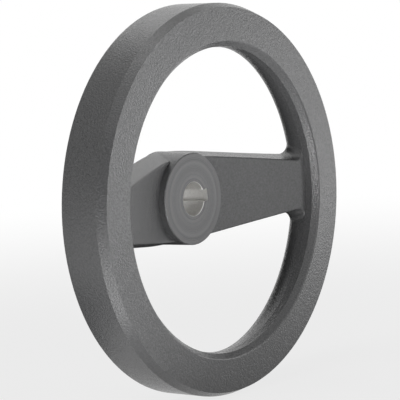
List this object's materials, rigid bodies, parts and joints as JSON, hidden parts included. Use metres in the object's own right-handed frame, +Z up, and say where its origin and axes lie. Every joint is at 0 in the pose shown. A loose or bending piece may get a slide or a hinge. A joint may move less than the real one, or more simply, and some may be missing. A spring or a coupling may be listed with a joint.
{
  "type": "machine handwheel",
  "caption": "Dished handwheel with a flat-faced rim, a pair of broad tapered spokes and a keyed bore, cast in one piece and coated.",
  "frame": {"origin": "centre of the hub's back face, on the bore's axis", "axes": "+Y along the bore towards the machine, so the rim's front face looks towards -Y; the spokes run along X; +Z up"},
  "size_m": [0.16, 0.038, 0.16],
  "materials": {
    "coated_casting": "fine textured dark grey powder coat, bore and keyway left as bare machined aluminium"
  },
  "bodies": {
    "root": {"handwheel": "coated_casting"}
  },
  "joints": []
}
